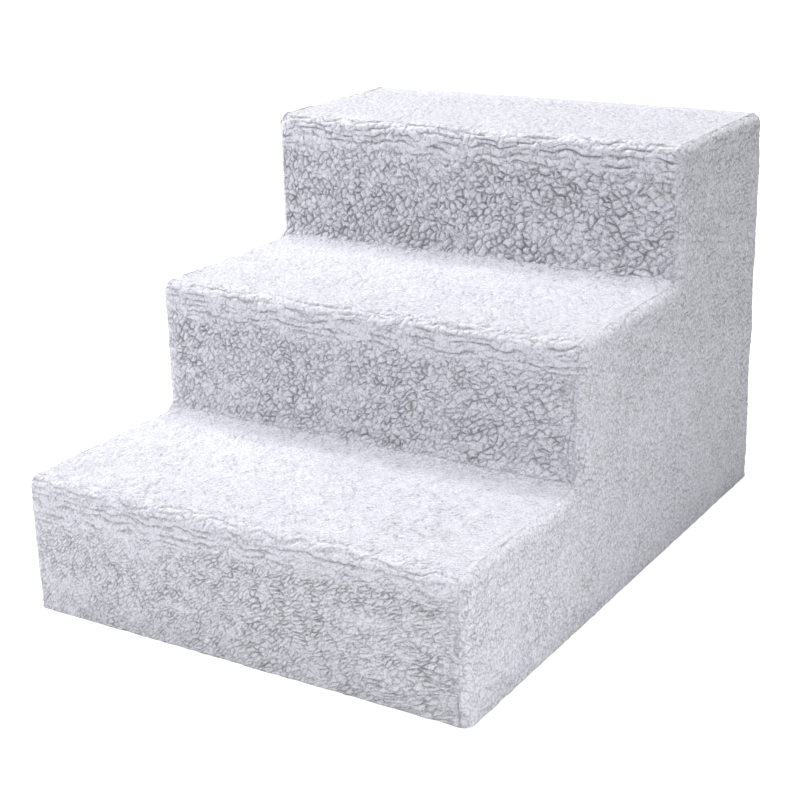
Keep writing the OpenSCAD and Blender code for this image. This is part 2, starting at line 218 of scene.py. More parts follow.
def grained(name, scale, height, dark, light, shine, metal=0.0, coat=0.0):
    """Paint, plastic or metal with fine bumps, whose colour and shine vary a little."""
    material, nodes, shader = new_material(name)
    node = nodes.new("ShaderNodeGroup")
    node.node_tree = grain
    set_inputs(node, {"Scale": scale, "Height": height, "Dark": (*dark, 1), "Light": (*light, 1),
                      "Shine Low": shine[0], "Shine High": shine[1]})
    set_inputs(shader, {"Base Color": node.outputs["Color"], "Roughness": node.outputs["Roughness"],
                        "Normal": node.outputs["Normal"], "Metallic": metal, "Coat Weight": coat})
    return material


def dress(material, *beginnings):
    """Gives the CAD nodes whose names begin so this material."""
    for name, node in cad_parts.items():
        if name.startswith(beginnings):
            for place in node.material_slots:
                place.material = material


tube_paint = grained("white powder coat", 450, 0.00012, (0.70, 0.70, 0.71), (0.76, 0.76, 0.77),
                     (0.30, 0.42), coat=0.2)
fitting_plastic = grained("grey moulded plastic", 1500, 0.00006, (0.44, 0.45, 0.46),
                          (0.50, 0.51, 0.52), (0.42, 0.58))
clip_plastic = grained("dark moulded plastic", 1500, 0.00006, (0.10, 0.10, 0.11),
                       (0.14, 0.14, 0.15), (0.38, 0.52))
dress(tube_paint, "tread_rail", "post_", "floor_rail", "cross_tube")
dress(fitting_plastic, "foot_fitting", "nosing_fitting", "inner_fitting", "top_fitting",
      "floor_tees")
dress(clip_plastic, "board_clips")

# The tread boards are thin plywood: birch faces with the grain across the stairs, and darker
# layers that show on their edges.


def ramp(nodes, factor, low, high):
    """A colour that runs from low to high. Each is a value of the factor and the colour there."""
    node = nodes.new("ShaderNodeValToRGB")
    for stop, (position, colour) in zip(node.color_ramp.elements, (low, high)):
        stop.position, stop.color = position, (*colour, 1)
    feed(factor, node.inputs["Fac"])
    return node.outputs["Color"]


board_wood, nodes, shader = new_material("birch plywood")
place = nodes.new("ShaderNodeTexCoord").outputs["Object"]
across = set_inputs(nodes.new("ShaderNodeMapping"), {"Vector": place, "Scale": (3, 60, 60)})
streaks = set_inputs(nodes.new("ShaderNodeTexNoise"), {
    "Vector": across.outputs["Vector"], "Scale": 5, "Detail": 6, "Distortion": 0.6})
wood_tint = ramp(nodes, streaks.outputs["Fac"], (0.32, (0.46, 0.29, 0.15)),
                 (0.66, (0.71, 0.53, 0.33)))
layers = set_inputs(nodes.new("ShaderNodeTexWave"), {"Vector": place, "Scale": 95, "Distortion": 0.4})
layers.bands_direction = "Z"
facing = split(nodes, nodes.new("ShaderNodeNewGeometry").outputs["Normal"])
upright = calculate(nodes, "ABSOLUTE", facing["Z"])
on_edge = calculate(nodes, "LESS_THAN", upright, 0.5)
dark_layer = calculate(nodes, "MULTIPLY", layers.outputs["Fac"], 0.6)
edge_layer = calculate(nodes, "MULTIPLY", on_edge, dark_layer)
pores = set_inputs(nodes.new("ShaderNodeBump"), {"Height": streaks.outputs["Fac"], "Distance": 0.0002})
set_inputs(shader, {"Base Color": mixed(nodes, edge_layer, wood_tint, (0.20, 0.11, 0.05, 1)),
                    "Roughness": 0.6, "Normal": pores.outputs["Normal"]})
dress(board_wood, "tread_board")

# The cloth under the stairs is a grey woven polyester. It lies flat on the floor inside the
# fleece, and turns up at the back as far as the zip.
quarter = math.pi / 2
smooth_angle = math.radians(40)
base_low, base_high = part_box("base_cloth")
base_t = 0.0012
base_corner_r = 0.003
base_back = base_high.y - base_t / 2
lip_half = 0.1278
fold_r = 0.001

weave, nodes, given, result = new_group(
    "plain weave", {"Threads": "Float", "Height": "Float", "Dark": "Color", "Light": "Color"},
    {"Color": "Color", "Normal": "Vector"})
x, y, z = split(nodes, nodes.new("ShaderNodeTexCoord").outputs["Object"])
over, under = (calculate(nodes, "SINE", calculate(nodes, "MULTIPLY", way, given["Threads"]))
               for way in (x, calculate(nodes, "ADD", y, z)))
threads = calculate(nodes, "MULTIPLY", over, under)
threads = calculate(nodes, "MULTIPLY_ADD", threads, 0.5, 0.5)
relief = set_inputs(nodes.new("ShaderNodeBump"), {"Height": threads, "Distance": given["Height"]})
feed(relief.outputs["Normal"], result["Normal"])
feed(mixed(nodes, threads, given["Dark"], given["Light"]), result["Color"])


def woven(name, threads, height, dark, light):
    """A plain-woven cloth with so many threads in a metre."""
    material, nodes, shader = new_material(name)
    node = nodes.new("ShaderNodeGroup")
    node.node_tree = weave
    set_inputs(node, {"Threads": threads * math.pi, "Height": height, "Dark": (*dark, 1),
                      "Light": (*light, 1)})
    set_inputs(shader, {"Base Color": node.outputs["Color"], "Normal": node.outputs["Normal"],
                        "Roughness": 0.85, "Sheen Weight": 0.15})
    return material


def lines(points, spacing):
    """Even grid lines that pass through all the given points. spacing is one distance, or one for
    each stretch."""
    gaps = spacing if isinstance(spacing, (list, tuple)) else [spacing] * (len(points) - 1)
    parts = [np.linspace(a, b, max(1, round((b - a) / gap)) + 1)[:-1]
             for a, b, gap in zip(points[:-1], points[1:], gaps)]
    return np.concatenate(parts + [[points[-1]]])


def sheet_mesh(us, vs, keep):
    """Points and quads of a flat sheet on the lines us and vs, where keep says so, the round of its
    border as point numbers with the distance walked to each, and which lattice points it uses."""
    u, v = np.meshgrid(us, vs, indexing="ij")
    cells = keep(*np.meshgrid((us[1:] + us[:-1]) / 2, (vs[1:] + vs[:-1]) / 2, indexing="ij"))
    number = np.arange(u.size).reshape(u.shape)
    i, j = np.nonzero(cells)
    quads = np.stack([number[i, j], number[i + 1, j], number[i + 1, j + 1], number[i, j + 1]], 1)
    used = np.zeros(u.size, bool)
    used[quads] = True
    quads = (np.cumsum(used) - 1)[quads]
    flat = np.stack([u.ravel()[used], v.ravel()[used]], 1)
    ends = np.concatenate([quads[:, [k, (k + 1) % 4]] for k in range(4)])
    forward = ends[:, 0].astype(np.int64) * len(flat) + ends[:, 1]
    backward = ends[:, 1].astype(np.int64) * len(flat) + ends[:, 0]
    border = ends[~np.isin(forward, backward)]
    following = dict(border.tolist())
    trip = [int(border[:, 0].min())]
    while following[trip[-1]] != trip[0]:
        trip.append(following[trip[-1]])
    steps = np.linalg.norm(np.diff(flat[trip + trip[:1]], axis=0), axis=1)
    return flat, quads, trip, np.concatenate([[0], np.cumsum(steps)]), used


def mesh_object(name, points, faces):
    mesh = bpy.data.meshes.new(name)
    mesh.from_pydata(points.tolist(), [], faces)
    mesh.update()
    piece = bpy.data.objects.new(name, mesh)
    scene.collection.objects.link(piece)
    return piece


def everywhere(u, v):
    return np.ones(u.shape, bool)


def unchanged(u, v):
    return u, v


def select_only(piece):
    bpy.ops.object.select_all(action="DESELECT")
    bpy.context.view_layer.objects.active = piece
    piece.select_set(True)


def face_outwards(piece):
    select_only(piece)
    bpy.ops.object.mode_set(mode="EDIT")
    bpy.ops.mesh.select_all(action="SELECT")
    bpy.ops.mesh.normals_make_consistent(inside=False)
    bpy.ops.object.mode_set(mode="OBJECT")


def thin_sheet(name, line_u, line_v, keep, shape, lay, thickness, material):
    """A thin cloth laid along its middle surface and thickened both ways."""
    square, quads, *_ = sheet_mesh(line_u, line_v, keep)
    piece = mesh_object(name, lay(*shape(*square.T)), quads.tolist())
    select_only(piece)
    thick = piece.modifiers.new("thickness", "SOLIDIFY")
    thick.thickness, thick.offset = thickness, 0
    bpy.ops.object.modifier_apply(modifier=thick.name)
    face_outwards(piece)
    bpy.ops.object.shade_smooth_by_angle(angle=smooth_angle)
    piece.data.materials.append(material)
    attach(piece, "stairs")
    return piece


def round_outward(a, b, centre_a, centre_b, toward_a, toward_b, r):
    """Turns the square corner that sticks out beyond a centre into a round one."""
    da, db = (a - centre_a) * toward_a, (b - centre_b) * toward_b
    most, least = np.maximum(da, db), np.minimum(da, db)
    inside = (least >= 0) & (most <= r * 1.001)
    part = quarter / 2 * least / np.maximum(most, 1e-9)
    turn = np.where(da >= db, part, quarter - part)
    return (np.where(inside, centre_a + toward_a * most * np.cos(turn), a),
            np.where(inside, centre_b + toward_b * most * np.sin(turn), b))


def base_shape(u, v):
    half, front = base_high.x - base_corner_r, base_low.y + base_corner_r
    for toward in (-1, 1):
        u, v = round_outward(u, v, toward * half, front, toward, -1, base_corner_r)
    return u, v


def base_lay(u, v):
    past = np.maximum(v - base_back + fold_r, 0)
    turn = np.minimum(past / fold_r, quarter)
    y = np.minimum(v, base_back - fold_r) + fold_r * np.sin(turn)
    z = base_t / 2 + fold_r * (1 - np.cos(turn)) + np.maximum(past - fold_r * quarter, 0)
    return np.stack([u, y, z], 1)


lip_end = base_back - fold_r + fold_r * quarter + base_high.z - base_t / 2 - fold_r
slab_end = base_back - fold_r - base_t
base_paint = woven("grey polyester cloth", 1100, 0.00025, (0.30, 0.30, 0.31), (0.43, 0.43, 0.44))
base = thin_sheet(
    "base_cloth_sheet",
    lines([base_low.x, base_low.x + base_corner_r, -lip_half, lip_half, base_high.x - base_corner_r,
           base_high.x], [0.0006, 0.01, 0.01, 0.01, 0.0006]),
    lines([base_low.y, base_low.y + base_corner_r, slab_end, base_back - fold_r,
           base_back - fold_r + fold_r * quarter, lip_end], [0.0006, 0.01, 0.01, 0.0003, 0.003]),
    lambda u, v: (v < slab_end) | (np.abs(u) < lip_half), base_shape, base_lay, base_t, base_paint)
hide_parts("base_cloth")

# The fleece over the steps. Each step's riser and tread are one length of white curly fleece, cut
# as wide as the stairs, pulled over the frame's nosing tube and sewn down in the inner corners.
# It is laid as a sheet, settled as cloth on the frame, and then grows its pile of tufts.
edge_r = 0.0075
crease_r = 0.013
fleece_t = 0.006
seam_x = cad_high.x - fleece_t
step_run = (cad_high.y - cad_low.y) / 3
step_rise = cad_high.z / 3
half_width = cad_high.x
front_y, back_y = cad_low.y, cad_high.y
cloth_grid = 0.008
backing_depth = 0.0048
settling_steps = 24
resting_reach = 0.008
most_sag, most_lift = 0.006, 0.0018
pile_depth = 0.0040
pile_level = 0.44
seam_lap = 0.0004
seam_fade, seam_sweep = 0.0014, 0.012
seam_level, seam_bumps, seam_bump_size = 0.52, 0.14, 0.0045
tuft_wander, tuft_wander_size = 0.0024, 0.014
fine_wander, fine_wander_size = 0.0008, 0.004
tuft_shift, cloth_shift = 0.37, 0.011
swelling, swelling_size = 0.0006, 0.032


def lattice(i, j, seed):
    """A repeatable number from 0 to 1 for each corner of a square lattice."""
    n = i.astype(np.uint32) * np.uint32(374761393) + j.astype(np.uint32) * np.uint32(668265263)
    n = n + np.uint32(seed * 974634777 % 4294967296)
    n = (n ^ (n >> np.uint32(13))) * np.uint32(1274126177)
    n = (n ^ (n >> np.uint32(15))) * np.uint32(2246822519)
    return ((n ^ (n >> np.uint32(16))) & np.uint32(0xFFFFFF)) / 16777216.0


def drift(u, v, size, seed):
    """Smooth noise from -1 to 1 whose lumps are about size across."""
    x, y = u / size, v / size
    i, j = np.floor(x), np.floor(y)
    fx, fy = x - i, y - j
    fx, fy = fx * fx * (3 - 2 * fx), fy * fy * (3 - 2 * fy)
    i, j = i.astype(np.int64), j.astype(np.int64)
    low = lattice(i, j, seed) * (1 - fx) + lattice(i + 1, j, seed) * fx
    high = lattice(i, j + 1, seed) * (1 - fx) + lattice(i + 1, j + 1, seed) * fx
    return 2 * (low * (1 - fy) + high * fy) - 1


def cells(nodes, place, scale, feature):
    """The plane cut into irregular cells."""
    node = set_inputs(nodes.new("ShaderNodeTexVoronoi"),
                      {"Vector": place, "Scale": scale, "Randomness": 0.9})
    node.voronoi_dimensions, node.feature = "2D", feature
    return node.outputs


def flat_noise(nodes, place, scale, detail):
    """Smooth noise over the plane."""
    node = set_inputs(nodes.new("ShaderNodeTexNoise"),
                      {"Vector": place, "Scale": scale, "Detail": detail})
    node.noise_dimensions = "2D"
    return node.outputs


def pile_pattern(nodes, combed, laid, bend, groove):
    """Nodes that give the pile's height, from about 0 deep in a parting to 1 on a tuft. The same
    nodes shape the mesh and colour the material, whose colour is painted darker in the partings,
    painted shade where the deep pile shades itself, and painted lighter where the pile stands higher
    along x-bends such as the nosing, a painted highlight. combed is the place on the cloth counted in
    tufts, laid is the place in metres, and bend says where the fleece bends and parts in long wavy
    lines along x, where along y, and where it lies brushed flat. groove is how wide a parting is."""
    plain, still_level, stillness = 0.66, 0.55, 0.62
    parting, tuft_chance = (0.56, 0.12), (0.12, 0.14)
    crest_and_painted_highlight, row_depth, row_waves, row_line = 0.17, 0.85, 2.2, 0.006
    ruffling, ripples = 0.42, 1.9
    tuft_scales = (1.0, 2.3)
    clear_patch, clear_gain, clear_level, clear_at_bends = 0.045, 0.8, 0.42, -0.3
    outline_patch, outline_gain, outline_shift, outline_least = 0.0085, 2.0, -0.6, 0.55
    break_gain, break_shift = 3.0, -0.8

    def of(operation, *values):
        return calculate(nodes, operation, *values)

    def fading(distance, reach):
        return of("EXPONENT", of("MULTIPLY", distance, -1 / reach))

    def noise(wide, deep, detail=1):
        """Noise on the cloth with lumps of this size along x and y."""
        stretched = calculate(nodes, "MULTIPLY", laid, (1 / wide, 1 / deep, 1), kind="VectorMath")
        return flat_noise(nodes, stretched, 1, detail)[0]

    def broken(value, gain, shift):
        """Noise sharpened into a mask of patches."""
        part = of("MULTIPLY_ADD", value, gain, shift)
        part.node.use_clamp = True
        return part

    def rows(across, wide, deep, spacing, weight):
        """Long wavy partings at this spacing, broken off here and there."""
        phase = of("MULTIPLY_ADD", noise(wide, deep, 3), row_waves, of("DIVIDE", across, spacing))
        away = of("ABSOLUTE", of("SUBTRACT", of("FRACT", phase), 0.5))
        line = of("MULTIPLY", fading(away, groove * row_line / spacing), weight)
        breaks = broken(noise(0.4 * wide, 0.5 * deep), break_gain, break_shift)
        return of("SUBTRACT", 1, of("MULTIPLY", line, breaks))

    along_x, along_y, calm = split(nodes, bend)
    flat_x, flat_y, _ = split(nodes, laid)
    ruffled = calculate(nodes, "MULTIPLY_ADD", flat_noise(nodes, combed, ripples, 1)["Color"],
                        (ruffling, ruffling, 0), combed, kind="VectorMath")
    depths, chances = [], []
    for scale in tuft_scales:
        tuft = cells(nodes, ruffled, scale, "DISTANCE_TO_EDGE")["Distance"]
        depths.append(fading(tuft, groove * (0.3 + 0.7 * scale)))
        own = split(nodes, cells(nodes, ruffled, scale, "F1")["Color"])
        chances.append(of("SUBTRACT", own[0], 0.5))
    clear = of("MULTIPLY_ADD", noise(clear_patch, clear_patch), clear_gain, clear_level)
    bent = of("MAXIMUM", along_x, along_y)
    clear = of("MULTIPLY", clear, of("MULTIPLY_ADD", bent, clear_at_bends, 1))
    outlined = broken(noise(outline_patch, outline_patch), outline_gain, outline_shift)
    clear = of("MULTIPLY", clear, of("ADD", outlined, outline_least))
    depths[0] = of("MULTIPLY", depths[0], clear)
    # Each parting lowers the height, and the material paints it darker: painted shade, where the deep
    # pile shades itself.
    shape = plain
    for k in range(2):
        shape = of("MULTIPLY_ADD", depths[k], -parting[k], shape)
        shape = of("MULTIPLY_ADD", chances[k], tuft_chance[k], shape)
    # Along x-bends such as the nosing the pile stands a little higher, and the material paints it
    # lighter there: a painted highlight.
    shape = of("MULTIPLY_ADD", along_x, crest_and_painted_highlight, shape)
    for across, wide, deep, spacing, way in ((flat_y, 0.052, 0.015, 0.0056, along_x),
                                             (flat_x, 0.015, 0.034, 0.0060, along_y)):
        shape = of("MULTIPLY", shape, rows(across, wide, deep, spacing, of("MULTIPLY", way, row_depth)))
    still = of("MULTIPLY_ADD", calm, -stillness, 1)
    return of("MULTIPLY_ADD", of("SUBTRACT", shape, still_level), still, still_level)


pile_relief = bpy.data.node_groups.new("pile relief", "GeometryNodeTree")
for direction in ("INPUT", "OUTPUT"):
    pile_relief.interface.new_socket("Geometry", in_out=direction, socket_type="NodeSocketGeometry")
nodes = pile_relief.nodes
store = nodes.new("GeometryNodeStoreNamedAttribute")
store.data_type, store.domain = "FLOAT", "POINT"
feed(store.outputs["Geometry"], nodes.new("NodeGroupOutput").inputs[0])
places = []
for name in ("combed", "laid", "bend"):
    given = nodes.new("GeometryNodeInputNamedAttribute")
    given.data_type = "FLOAT_VECTOR"
    feed(name, given.inputs["Name"])
    places.append(given.outputs["Attribute"])
set_inputs(store, {"Name": "pile", "Geometry": nodes.new("NodeGroupInput").outputs[0],
                   "Value": pile_pattern(nodes, *places, 0.26)})


def point_normals(points, quads):
    """Normal at each point of a quad mesh."""
    corner = points[quads]
    face = np.cross(corner[:, 2] - corner[:, 0], corner[:, 3] - corner[:, 1])
    total = np.zeros_like(points)
    for k in range(4):
        for axis in range(3):
            total[:, axis] += np.bincount(quads[:, k], face[:, axis], len(points))
    return total / np.linalg.norm(total, axis=1)[:, None]


def settle(points, quads, border, under, suction):
    """Lets a coarse sheet settle as cloth between its sewn border and the frame's tubes and boards
    under it, and returns how far each point moved."""
    cloth = mesh_object("cloth", points, quads.tolist())
    held = cloth.vertex_groups.new(name="held")
    held.add(border, 1, "REPLACE")
    for name in under:
        low, high = (np.array(corner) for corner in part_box(name))
        resting = np.all((points > low - resting_reach) & (points < high + resting_reach), 1)
        held.add(np.nonzero(resting)[0].tolist(), 1, "REPLACE")
    modifier = cloth.modifiers.new("cloth", "CLOTH")
    settings = modifier.settings
    settings.quality = 6
    settings.mass = 0.4
    settings.tension_stiffness = settings.compression_stiffness = 15
    settings.shear_stiffness = 5
    settings.bending_stiffness = 2
    settings.effector_weights.gravity = 0
    settings.vertex_group_mass = "held"
    settings.use_pressure = True
    settings.uniform_pressure_force = -suction
    modifier.collision_settings.use_collision = False
    modifier.point_cache.frame_start, modifier.point_cache.frame_end = 1, settling_steps
    for step in range(1, settling_steps + 1):
        scene.frame_set(step)
    settled = cloth.evaluated_get(bpy.context.evaluated_depsgraph_get()).to_mesh()
    moved = np.zeros(len(points) * 3)
    settled.vertices.foreach_get("co", moved)
    scene.frame_set(1)
    bpy.data.objects.remove(cloth)
    return moved.reshape(-1, 3) - points


def spread(values, lines_u, lines_v, u, v):
    """Values on a coarse lattice, blended smoothly at finer points."""
    total = 0
    iu = np.clip(np.searchsorted(lines_u, u, "right") - 1, 0, len(lines_u) - 2)
    iv = np.clip(np.searchsorted(lines_v, v, "right") - 1, 0, len(lines_v) - 2)
    fu = (u - lines_u[iu]) / (lines_u[iu + 1] - lines_u[iu])
    fv = (v - lines_v[iv]) / (lines_v[iv + 1] - lines_v[iv])
    shares = [[(1 - f) ** 3 / 6, (3 * f ** 3 - 6 * f ** 2 + 4) / 6,
               (-3 * f ** 3 + 3 * f ** 2 + 3 * f + 1) / 6, f ** 3 / 6] for f in (fu, fv)]
    for k in range(4):
        for m in range(4):
            total = total + shares[0][k] * shares[1][m] * values[
                np.clip(iu + k - 1, 0, len(lines_u) - 1), np.clip(iv + m - 1, 0, len(lines_v) - 1)]
    return total


def rim_distances(flat, border):
    """How far each point of a flat cut lies from its border."""
    rim = KDTree(len(border))
    for k, point in enumerate(border):
        rim.insert((*flat[point], 0), k)
    rim.balance()
    return np.array([rim.find((a, b, 0))[2] for a, b in flat.tolist()])


def closing_faces(border, walked, border_c, walked_c, first_c):
    """Triangles between the border of the pile and the coarser border of its backing, whose points
    are numbered from first_c."""
    a, b = border + border[:1], [k + first_c for k in border_c + border_c[:1]]
    faces = []
    i = j = 0
    while i < len(a) - 1 or j < len(b) - 1:
        if j == len(b) - 1 or (i < len(a) - 1 and walked[i + 1] <= walked_c[j + 1]):
            faces.append((a[i + 1], a[i], b[j]))
            i += 1
        else:
            faces.append((a[i], b[j], b[j + 1]))
            j += 1
    return faces


def places_on_cloth(u, v, seed, tuft, widen, comb, comb_turn):
    """Each point's place counted in tufts, and in metres, with the tufts led a little astray."""
    a, b = u - 0.5 * widen * u * u / half_width, v
    a, b = (value + tuft_wander * drift(u, v, tuft_wander_size, seed + k)
            + fine_wander * drift(u, v, fine_wander_size, seed + k + 1) for value, k in ((a, 0), (b, 2)))
    turned_a = a * math.cos(comb_turn) + b * math.sin(comb_turn)
    turned_b = b * math.cos(comb_turn) - a * math.sin(comb_turn)
    return (np.stack([turned_a / (tuft * comb) + tuft_shift * seed, turned_b / (tuft / comb), 0 * a], 1),
            np.stack([a + cloth_shift * seed, b, 0 * a], 1))


def fleece(name, u_points, v_points, keep, shape, lay, bends, seed, grid_u, grid_v, under, tuft,
           widen=0.0, comb=1.0, comb_turn=0.0, suction=4.0):
    """A panel of fleece as one closed piece, and the area of its cut. shape rounds the corners of
    the square-cut sheet, lay puts it in place, and bends says where it bends or lies flat. tuft is
    the size of a tuft, widen how much larger the tufts grow to the right, and comb how much longer
    than wide they are. The names that end in _c belong to the coarse sheet, which settles as cloth
    and then backs the pile."""
    lines_u, lines_v = lines(u_points, cloth_grid), lines(v_points, cloth_grid)
    square_c, quads_c, border_c, walked_c, used_c = sheet_mesh(lines_u, lines_v, keep)
    base_c = lay(*shape(*square_c.T))
    normal_c = point_normals(base_c, quads_c)
    sunk_c = np.zeros(len(base_c))
    moved = settle(base_c - normal_c * fleece_t, quads_c, border_c, under, suction)
    sunk_c = np.clip(np.sum(moved * normal_c, 1), -most_sag, most_lift)
    square, quads, border, walked, _ = sheet_mesh(lines(u_points, grid_u), lines(v_points, grid_v),
                                                  keep)
    flat = np.stack(shape(*square.T), 1)
    whole = np.zeros(used_c.size)
    whole[used_c] = sunk_c
    sunk = spread(whole.reshape(len(lines_u), len(lines_v)), lines_u, lines_v, *square.T)
    from_rim = rim_distances(flat, border)
    base = lay(*flat.T)
    normal = point_normals(base, quads)
    x, y, z = base.T
    seam_height = seam_level + seam_bumps * drift(y + 0.6 * x, z - 0.4 * x, seam_bump_size, 7)
    base = base + normal * (sunk * np.clip(from_rim / seam_sweep, 0, 1))[:, None]
    u, v = flat.T
    combed, laid = places_on_cloth(u, v, seed, tuft, widen, comb, comb_turn)
    still = np.array([(0, 0, 1)])
    faces = quads.tolist() + (quads_c[:, ::-1] + len(base)).tolist()
    faces += closing_faces(border, walked, border_c, walked_c, len(base))
    piece = mesh_object(name, np.concatenate([base, base_c]), faces)
    for label, value in (("combed", combed), ("laid", laid), ("bend", np.stack(bends(u, v), 1))):
        attribute = piece.data.attributes.new(label, "FLOAT_VECTOR", "POINT")
        value = np.concatenate([value, np.repeat(still, len(base_c), 0)])
        attribute.data.foreach_set("vector", value.ravel())
    select_only(piece)
    pattern = piece.modifiers.new("pile", "NODES")
    pattern.node_group = pile_relief
    bpy.ops.object.modifier_apply(modifier=pattern.name)
    height = np.zeros(len(base) + len(base_c))
    piece.data.attributes["pile"].data.foreach_get("value", height)
    grown = 1 - np.exp(-from_rim / seam_fade)
    height = height[:len(base)] * grown + seam_height * (1 - grown)
    rise = (height - pile_level) * pile_depth
    rise = rise + swelling * grown * drift(u, v, swelling_size, seed + 60)
    outer = base + normal * rise[:, None]
    inner = base_c + normal_c * (sunk_c - backing_depth)[:, None]
    piece.data.vertices.foreach_set("co", np.concatenate([outer, inner]).ravel())
    piece.data.update()
    piece.data.polygons.foreach_set("use_smooth", np.ones(len(piece.data.polygons), bool))
    piece.data.materials.append(fleece_paint)
    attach(piece, "stairs")
    corner = flat[quads]
    across, along = corner[:, 2] - corner[:, 0], corner[:, 3] - corner[:, 1]
    return piece, float(np.abs(across[:, 0] * along[:, 1] - across[:, 1] * along[:, 0]).sum() / 2)


def path(start, heading, parts):
    """A line in a plane as fine samples: the distance walked, its two coordinates and its heading.
    parts are (length, turn) pairs, and a part with a turn is an arc."""
    spacing = 0.0002
    turn, walked = [heading], [0.0]
    for length, angle in parts:
        turn.append(turn[-1] + angle)
        walked.append(walked[-1] + length)
    s = np.arange(0, walked[-1] + spacing / 2, spacing)
    angles = np.interp(s, walked, turn)
    middle = (angles[1:] + angles[:-1]) / 2
    y = start[0] + np.concatenate([[0], np.cumsum(np.cos(middle) * spacing)])
    z = start[1] + np.concatenate([[0], np.cumsum(np.sin(middle) * spacing)])
    return s, y, z, angles, walked[-1]


seam_turn = math.asin((seam_x - half_width + edge_r) / edge_r)
half_cloth = half_width - edge_r + edge_r * seam_turn + seam_lap


def over_edges(u):
    """Across a step's fleece: its place, and how far the rounded side edge has dropped there."""
    past = np.maximum(np.abs(u) - (half_width - edge_r), 0) / edge_r
    x = np.sign(u) * (np.minimum(np.abs(u), half_width - edge_r) + edge_r * np.sin(past))
    return x, edge_r * (1 - np.cos(past))


def near(distance, reach):
    part = np.clip(1 - distance / reach, 0, 1)
    return part * part * (3 - 2 * part)


fleece_paint, nodes, shader = new_material("white fleece")
speckling, fibre_relief = 0.96, 0.6
places = []
for name in ("combed", "laid", "bend"):
    given = nodes.new("ShaderNodeAttribute")
    given.attribute_name = name
    places.append(given.outputs["Vector"])
pile = pile_pattern(nodes, *places, 0.15)
place = nodes.new("ShaderNodeTexCoord").outputs["Object"]
fibres = set_inputs(nodes.new("ShaderNodeTexNoise"), {"Vector": place, "Scale": 750, "Detail": 2})
speckle = calculate(nodes, "MULTIPLY_ADD", fibres.outputs["Fac"], speckling, -speckling / 2)
lightness_with_painted_shade = calculate(nodes, "ADD", pile, speckle)
fuzz = calculate(nodes, "MULTIPLY_ADD", fibres.outputs["Fac"], fibre_relief, pile)
relief = set_inputs(nodes.new("ShaderNodeBump"),
                    {"Strength": 0.9, "Distance": 0.0018, "Height": fuzz})
# The colour is painted darker in the partings, painted shade where the deep pile shades itself, and
# lighter along the nosing, a painted highlight. The fine speckle is random tone.
white = ramp(nodes, lightness_with_painted_shade, (0.14, (0.40, 0.40, 0.425)), (0.64, (0.865, 0.865, 0.95)))
set_inputs(shader, {"Base Color": white, "Roughness": 0.95, "Specular IOR Level": 0.15,
                    "Sheen Weight": 0.45, "Sheen Roughness": 0.45, "Normal": relief.outputs["Normal"]})

# Along the nosing, and along the top step's back edge, the pile parts in wavy lines and stands a little
# higher, and its colour is painted lighter there, a painted highlight.
nosing_reach, nosing_spread, back_reach, right_reach = 0.026, 0.014, 0.022, 0.018
calm_start, calm_reach = 0.002, 0.010
for step, tuft, widen, comb, calmness in (
        (1, 0.0042, 0.4, 1.55, 0.48), (2, 0.0048, 0.2, 1.25, 0.30), (3, 0.0056, 0.25, 1.08, 0.08)):
    riser = front_y + (step - 1) * step_run
    top = step * step_rise
    foot = 0 if step == 1 else crease_r
    last = step == 3
    half_crease = quarter / 2 + seam_lap / crease_r
    bend = crease_r * half_crease
    parts = [] if step == 1 else [(bend, half_crease)]
    parts += [(step_rise - foot - edge_r, 0), (edge_r * quarter, -quarter)]
    parts += [(step_run - 2 * edge_r, 0), (edge_r * quarter, -quarter)] if last else [
        (step_run - edge_r - crease_r, 0), (bend, half_crease)]
    start, heading = ((riser, 0.0), quarter) if step == 1 else (
        (riser - crease_r * (1 - math.cos(half_crease)),
         top - step_rise + crease_r * (1 - math.sin(half_crease))), quarter - half_crease)
    s, ys, zs, angles, length = path(start, heading, parts)
    nose = (0 if step == 1 else bend) + step_rise - foot - edge_r + edge_r * quarter / 2
    nosing_end = nose + edge_r + 0.01

    def lay(u, v):
        x, drop = over_edges(u)
        angle = np.interp(v, s, angles)
        y, z = np.interp(v, s, ys), np.interp(v, s, zs)
        return np.stack([x, y + np.sin(angle) * drop, z - np.cos(angle) * drop], 1)

    def bends(u, v):
        """Wavy partings along the nosing and the back edge, and upright ones by the right edge."""
        reach = nosing_reach + nosing_spread * np.clip(-u / half_width, -0.6, 1) * (step == 1)
        edge = near(np.abs(v - nose + 0.3 * reach), reach)
        if last:
            edge = np.maximum(edge, near(np.abs(v - length + back_reach / 2), back_reach))
        edge = np.minimum(1.5 * edge, 1)
        calm = np.maximum(np.clip((v - nose - calm_start) / calm_reach, 0, 1), calmness)
        return edge, near(half_cloth - u, right_reach) * (1 - edge), calm

    under = [f"tread_board_{step}", f"cross_tube_nosing_{step}"]
    under += [f"cross_tube_inner_{k}" for k in (step - 1, step) if k in (1, 2)]
    piece, area = fleece(f"fleece_step_{step}", [-half_cloth, half_cloth], [0, nosing_end, length],
                         everywhere, unchanged, lay, bends, seed=step * 100, grid_u=0.00088,
                         grid_v=[0.00085, 0.00122], under=under, tuft=tuft, widen=widen, comb=comb,
                         comb_turn=0.6)
    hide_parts(f"step_cover_{step}")

# The side panels. Each is one stair-shaped piece of the same fleece. It turns in over the stepped
# edge to its seam with the steps, and round the back edge as far as the zip.
rim_inset = edge_r - edge_r * (quarter - seam_turn) - seam_lap
rim_r = edge_r - rim_inset
inner_r = crease_r + rim_inset
zip_x = 0.148
zip_bend_r = 0.020
zip_foot = 0.014
slot_half = 0.005
wall_top = cad_high.z - edge_r
wrap_start = back_y - edge_r
wrap_end = wrap_start + edge_r * quarter
zip_edge = wrap_end + (half_width - edge_r) - (zip_x + slot_half)
toe_r = zip_bend_r + slot_half
toe_end = zip_edge + toe_r
toe_top = zip_foot - slot_half
risers = [front_y + k * step_run for k in range(3)]
treads = [(k + 1) * step_rise for k in range(3)]


